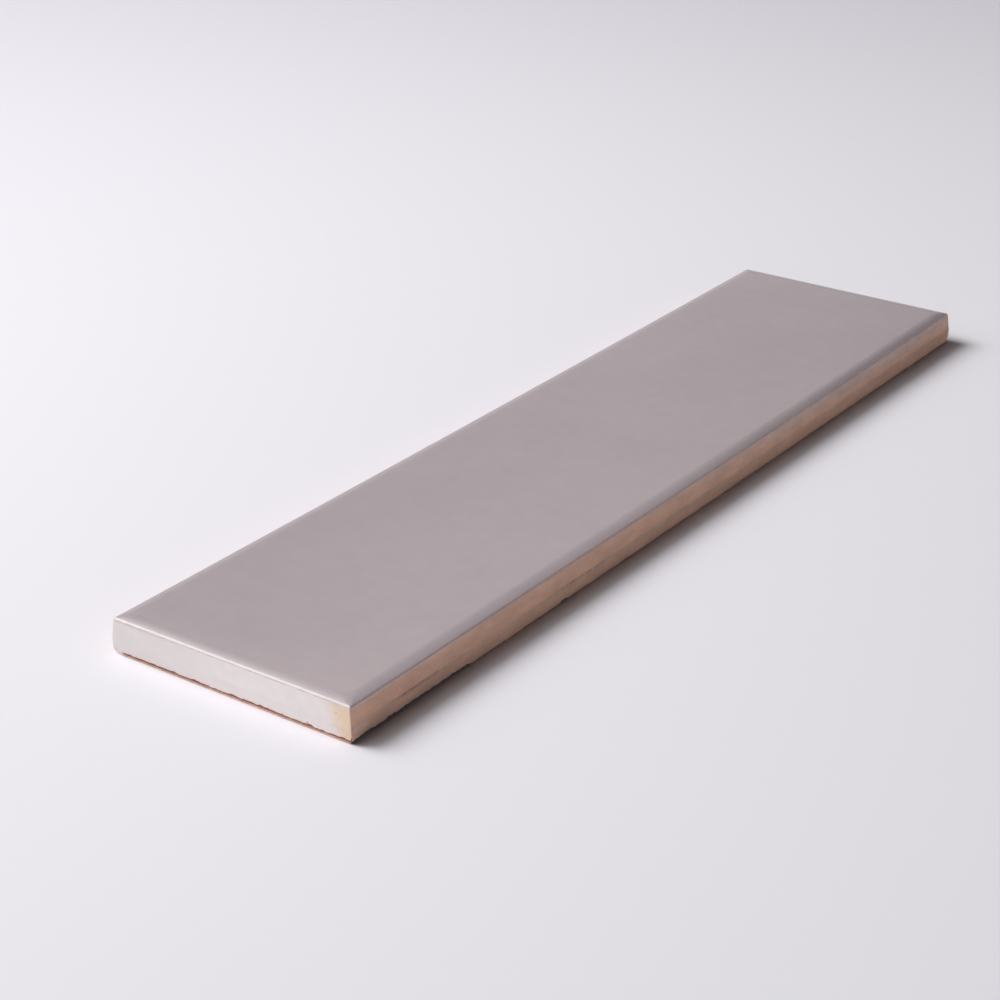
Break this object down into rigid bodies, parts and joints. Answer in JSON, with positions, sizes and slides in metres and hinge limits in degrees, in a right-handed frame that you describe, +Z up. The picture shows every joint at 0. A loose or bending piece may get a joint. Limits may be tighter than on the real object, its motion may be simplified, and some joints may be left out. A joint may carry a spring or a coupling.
{
  "type": "ceramic wall tile",
  "caption": "Long rectangular glazed ceramic tile with a cushioned face edge, clay walls that lean in towards the face, and a ribbed back that keys into adhesive.",
  "frame": {"origin": "middle of the tile's rectangle, on the plane that its ribbed back rests on", "axes": "+Y along the long sides, +X across the tile, +Z up out of the glazed face"},
  "size_m": [0.075, 0.3, 0.01],
  "materials": {
    "glazed_body": "satin grey-mauve glaze on the face, bare red-brown clay on the walls and back"
  },
  "bodies": {
    "root": {"tile": "glazed_body"}
  },
  "joints": []
}
